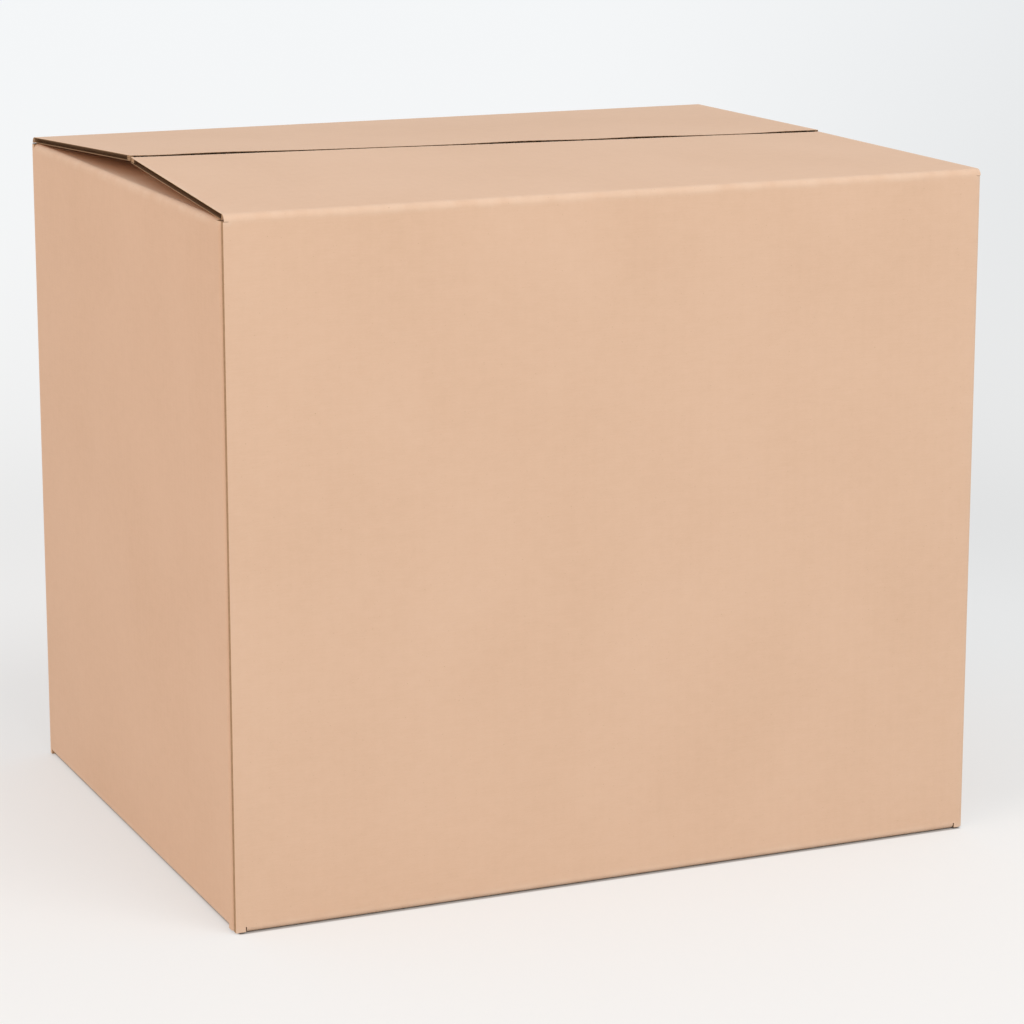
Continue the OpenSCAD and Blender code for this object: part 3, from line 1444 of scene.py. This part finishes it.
@dataclass
class OuterFlap:
    """One hinged outer flap and the crease that joins it to its wall."""

    carton: Carton
    side: Side
    name: str
    sag: float
    crests: Tuple[Pair, ...]
    left_rise: float = 11.0 * MM
    right_rise: float = 2.2 * MM
    seam_step: float = 0.0
    flipped: bool = False
    half_rows: int = 6
    liner_rows: int = 16

    def __post_init__(self) -> None:
        """Works out the flap's line and its lifts."""
        c, b = self.carton, self.carton.board
        rises = (self.left_rise, self.right_rise)
        lifts = tuple(math.atan((rise + self.seam_step) / c.flap_length)
                      for rise in (reversed(rises) if self.flipped else rises))
        start = (b.thickness / 2, c.height - b.fold_radius)
        line = Section(start, QUARTER, c.long_line().legs[1:])
        span = (b.outer_inset, self.side.length - b.outer_inset)
        self.sheet = LiftedFlap(b, self.side, c.height, line, c.flap_length, lifts, span,
                                b.bend / 2, self.sag, self.crests)

    def columns(self) -> List[float]:
        """Places along the crease."""
        return graded(*self.sheet.span, self.carton.step, CUT_MARGINS)

    def build_flap(self) -> bpy.types.Object:
        """Makes the stiff part of the flap.

        Returns:
            The new object.
        """
        c, sheet = self.carton, self.sheet
        draft = Draft(c.board, c.finishes)
        rows = graded(c.board.bend, sheet.line.length, c.step, CUT_MARGINS)
        draft.sheet(sheet, self.columns(), rows, **FLAP_SIDES, low_t=Rim.CLOSED, high_t=Rim.ACROSS)
        self.half_fold(draft, wall_half=False)
        return draft.build(self.name)

    def half_fold(self, draft: Draft, wall_half: bool) -> None:
        """Adds one half of the crease's core, under its outer liner.

        Args:
            draft: The mesh that it belongs to.
            wall_half: Whether it is the half on the wall.
        """
        b = self.carton.board
        middle, gap = b.bend / 2, b.hinge_clearance / 2
        low, high = (0.0, middle - gap) if wall_half else (middle + gap, b.bend)
        across = self.columns()
        if wall_half:
            first, last = b.fold_radius, self.side.length - b.fold_radius
            across = [first, *(s for s in across if first < s < last), last]
        draft.block(self.sheet, across, spread(low, high - low, self.half_rows),
                    (b.liner + b.liner_gap, b.thickness))

    def build_crease(self) -> bpy.types.Object:
        """Makes the outer liner over the crease, which joins the wall and the flap.

        Returns:
            The new object.
        """
        b = self.carton.board
        draft = Draft(b, self.carton.finishes)
        draft.block(self.sheet, self.columns(), spread(0.0, b.bend, self.liner_rows),
                    (0.0, b.liner))
        return draft.build(self.name.replace("flap", "crease"))

    def dress(self) -> None:
        """Builds the flap and its crease, and ties the flap to the frame."""
        stiff = self.build_flap()
        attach(stiff, self.name)
        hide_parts(self.name)
        crease = self.build_crease()
        side, top = self.side, self.carton.height
        middle, radius = side.length / 2, self.carton.board.fold_radius
        side.world(middle, 0, top - radius)
        side.world(middle, radius, top)
        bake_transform(crease)


@dataclass
class Glue:
    """The glue of the side joint and of the bottom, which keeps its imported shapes."""

    finish: Finish
    nodes: Tuple[str, ...] = ("joint_glue", "bottom_glue")

    def dress(self) -> None:
        """Gives the glue's nodes their finish."""
        glue = self.finish.build()
        for name in self.nodes:
            node = frame["nodes"][name]
            node.data.materials.clear()
            node.data.materials.append(glue)
            LOG.info("%s: procedural glue on the packed node", name)


# Studio


@dataclass(frozen=True)
class Lamp:
    """A soft square lamp that faces the box."""

    name: str
    place: Triple
    power: float
    tone: Triple
    size: float = 3.0
    target: Triple = (0.0, 0.0, 0.25)

    def build(self) -> None:
        """Makes the lamp."""
        data = bpy.data.lights.new(self.name, "AREA")
        data.size, data.energy, data.color = self.size, self.power, self.tone
        aim(add_object(self.name, data), self.place, Vector(self.target) - Vector(self.place))


@dataclass
class Studio:
    """Pale floor, soft light and the camera."""

    floor: PaleFloor
    floor_size: float = 60.0
    lamps: Tuple[Lamp, ...] = (
        Lamp("key", (0.9, -2.9, 4.2), 96.0, (1.0, 0.985, 0.96)),
        Lamp("fill", (-3.6, -1.2, 2.2), 38.0, (1.0, 0.54, 0.20)),
    )
    zenith_tone: Triple = (0.94, 1.02, 1.10)
    horizon_tone: Triple = (1.0, 0.965, 0.925)
    sky_strength: float = 0.75
    horizon_strength: float = 0.90
    tone_rise: Pair = (0.0, 0.7)
    strength_rise: Pair = (0.3, 0.0)
    camera_place: Triple = (-1.001, -2.3381, 0.8224)
    camera_turn: float = 23.56
    camera_dip: float = 12.43
    focal_pixels: float = 3398.0
    image_size: float = 1024.0
    shift_pixels: float = -50.0
    sensor: float = 36.0
    view_limit: float = 200.0

    def build(self) -> None:
        """Makes the floor, the sky, the lamps and the camera."""
        self.build_floor()
        self.build_sky()
        for lamp in self.lamps:
            lamp.build()
        self.build_camera()

    def build_floor(self) -> None:
        """Makes the floor."""
        half = self.floor_size / 2
        mesh = bpy.data.meshes.new("floor")
        corners = [(-half, -half, 0), (half, -half, 0), (half, half, 0), (-half, half, 0)]
        mesh.from_pydata(corners, [], [(0, 1, 2, 3)])
        mesh.materials.append(self.floor.build())
        floor = add_object("floor", mesh)

    def build_sky(self) -> None:
        """Makes an even white sky, a little brighter and warmer at the horizon."""
        world = bpy.data.worlds.new("sky")
        bpy.context.scene.world = world
        world.use_nodes = True
        g = Graph(world.node_tree)
        rise = g.axis(g.node("ShaderNodeTexCoord", {}, {}).outputs["Generated"], 2)
        more = self.horizon_strength - self.sky_strength
        light = g.node("ShaderNodeBackground", {}, {
            "Color": g.mix(rise.step(*self.tone_rise), self.horizon_tone, self.zenith_tone),
            "Strength": self.sky_strength + rise.step(*self.strength_rise) * more})
        g.node("ShaderNodeOutputWorld", {}, {"Surface": light.outputs[0]})

    def build_camera(self) -> None:
        """Makes the camera where the photograph's stood."""
        data = bpy.data.cameras.new("camera")
        data.sensor_width = self.sensor
        data.lens = self.focal_pixels / self.image_size * self.sensor
        data.shift_y = self.shift_pixels / self.image_size
        data.clip_end = self.view_limit
        turn, dip = math.radians(self.camera_turn), math.radians(self.camera_dip)
        level = math.cos(dip)
        ahead = Vector((math.sin(turn) * level, math.cos(turn) * level, -math.sin(dip)))
        camera = add_object("camera", data)
        aim(camera, self.camera_place, ahead)
        scene = bpy.context.scene
        scene.camera = camera
        scene.view_settings.view_transform = "Standard"
        scene.view_settings.look = "None"


def main() -> None:
    """Builds the studio and the box in order and reports each piece."""
    logging.basicConfig(level=logging.INFO, format="%(name)s: %(message)s")
    low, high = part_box("carton")
    board, length, width = Board(), high[0] - low[0], high[1] - low[1]
    # The floor's painted contact shade follows this footprint, drawn in at the box's ends
    Studio(PaleFloor((length - board.bottom_inset, width))).build()
    height = next(joint["pos_m"][2] for joint in frame["joints"])
    finishes = [
        KraftLiner().build(),
        RawPaper("cut_paper", tone=(0.47, 0.30, 0.175), deep=(0.30, 0.18, 0.10)).build(),
        RawPaper("fluted_medium", tone=(0.26, 0.155, 0.085), deep=(0.16, 0.09, 0.05)).build(),
    ]
    carton = Carton(board, finishes, length, width, height)
    flaps = [
        OuterFlap(carton, carton.sides[0], "front_flap",
                  sag=0.15 * MM, crests=((0.36, 0.08), (0.85, 0.06))),
        OuterFlap(carton, carton.sides[2], "rear_flap", flipped=True, seam_step=1.2 * MM,
                  sag=0.75 * MM, crests=((0.05, 0.05), (0.28, 0.06), (0.45, 0.07), (0.87, 0.08))),
    ]
    carton.dress(flaps)
    for flap in flaps:
        flap.dress()
    Glue(DriedGlue()).dress()


if __name__ == "__main__":
    main()
